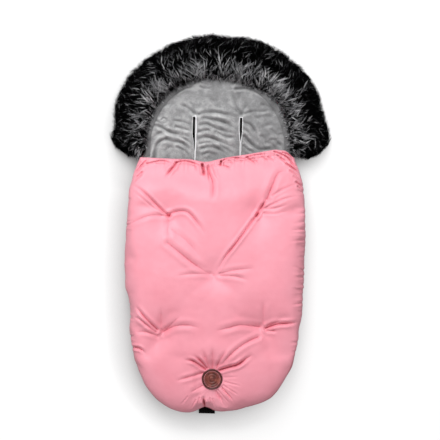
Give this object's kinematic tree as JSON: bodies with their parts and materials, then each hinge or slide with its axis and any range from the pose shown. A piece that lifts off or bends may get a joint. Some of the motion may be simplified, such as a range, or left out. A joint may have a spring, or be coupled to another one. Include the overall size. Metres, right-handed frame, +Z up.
{
  "type": "stroller footmuff",
  "caption": "padded footmuff for a pushchair: plush-lined back with harness slots, tufted puffy cover that unzips and folds over the foot, and a fur-trimmed head end that tips up",
  "frame": {"origin": "on the ground under the middle of the footmuff lying on its back", "axes": "+Y from the foot to the head end, +X to the right seen from above, +Z up out of the front"},
  "size_m": [0.5858, 1.012, 0.1173],
  "materials": {
    "pink_fabric": "soft woven nylon with a slight sheen, puffed over wadding",
    "wadding": "white hollow-fibre filling",
    "grey_plush": "short-pile plush, brushed and matt",
    "fur": "long-pile fake fur, black with silver tips",
    "webbing": "woven black webbing, matt",
    "leather": "brown leather with a darker pressed rim",
    "zip_tape": "woven zip tape",
    "piping": "light grey piped cotton tape",
    "zip_metal": "dark coated zinc, satin"
  },
  "bodies": {
    "back": {"back_shell": "pink_fabric", "back_wadding": "wadding", "back_liner": "grey_plush", "slot_welt_left": "piping", "slot_welt_right": "piping", "crotch_slot_welt": "piping", "anchor_band": "webbing", "foot_tab": "webbing", "zip_tape_back": "zip_tape", "zip_tape_foot": "zip_tape", "zip_stop_left": "zip_metal", "zip_stop_right": "zip_metal", "foot_shell": "pink_fabric", "foot_wadding": "wadding", "foot_lining": "grey_plush", "leather_patch": "leather", "tuft_tack_centre": "pink_fabric", "tuft_tack_foot_left": "pink_fabric", "tuft_tack_foot_right": "pink_fabric"},
    "hood": {"hood_shell": "pink_fabric", "hood_wadding": "wadding", "hood_liner": "grey_plush", "hood_welt_left": "piping", "hood_welt_right": "piping", "fur_tape": "webbing", "fur_trim": "fur"},
    "flap": {"flap_shell": "pink_fabric", "flap_wadding": "wadding", "flap_lining": "grey_plush", "hem_binding": "pink_fabric", "hem_elastic": "piping", "zip_tape_flap_left": "zip_tape", "zip_tape_flap_right": "zip_tape", "tuft_tack_flap_left": "pink_fabric", "tuft_tack_flap_right": "pink_fabric"},
    "slider_left": {"zip_slider_left": "zip_metal"},
    "slider_right": {"zip_slider_right": "zip_metal"},
    "pull_left": {"zip_pull_left": "zip_metal"},
    "pull_right": {"zip_pull_right": "zip_metal"}
  },
  "joints": [
    {"name": "cover_fold", "type": "hinge", "parent": "back", "child": "flap", "pos_m": [0, -0.06, 0.1179], "axis": [1, 0, 0], "range_deg": [0, 165]},
    {"name": "hood_fold", "type": "hinge", "parent": "back", "child": "hood", "pos_m": [0, 0.172, 0.03], "axis": [1, 0, 0], "range_deg": [0, 30]},
    {"name": "zip_slide_left", "type": "slide", "parent": "back", "child": "slider_left", "axis": [0, -1, 0], "range_m": [0, 0.165]},
    {"name": "zip_pull_turn_left", "type": "hinge", "parent": "slider_left", "child": "pull_left", "pos_m": [-0.2079, 0.112, 0.0347], "axis": [0, 0, -1], "range_deg": [0, 150]},
    {"name": "zip_slide_right", "type": "slide", "parent": "back", "child": "slider_right", "axis": [0, -1, 0], "range_m": [0, 0.165]},
    {"name": "zip_pull_turn_right", "type": "hinge", "parent": "slider_right", "child": "pull_right", "pos_m": [0.2079, 0.112, 0.0347], "axis": [0, 0, 1], "range_deg": [0, 150]}
  ]
}
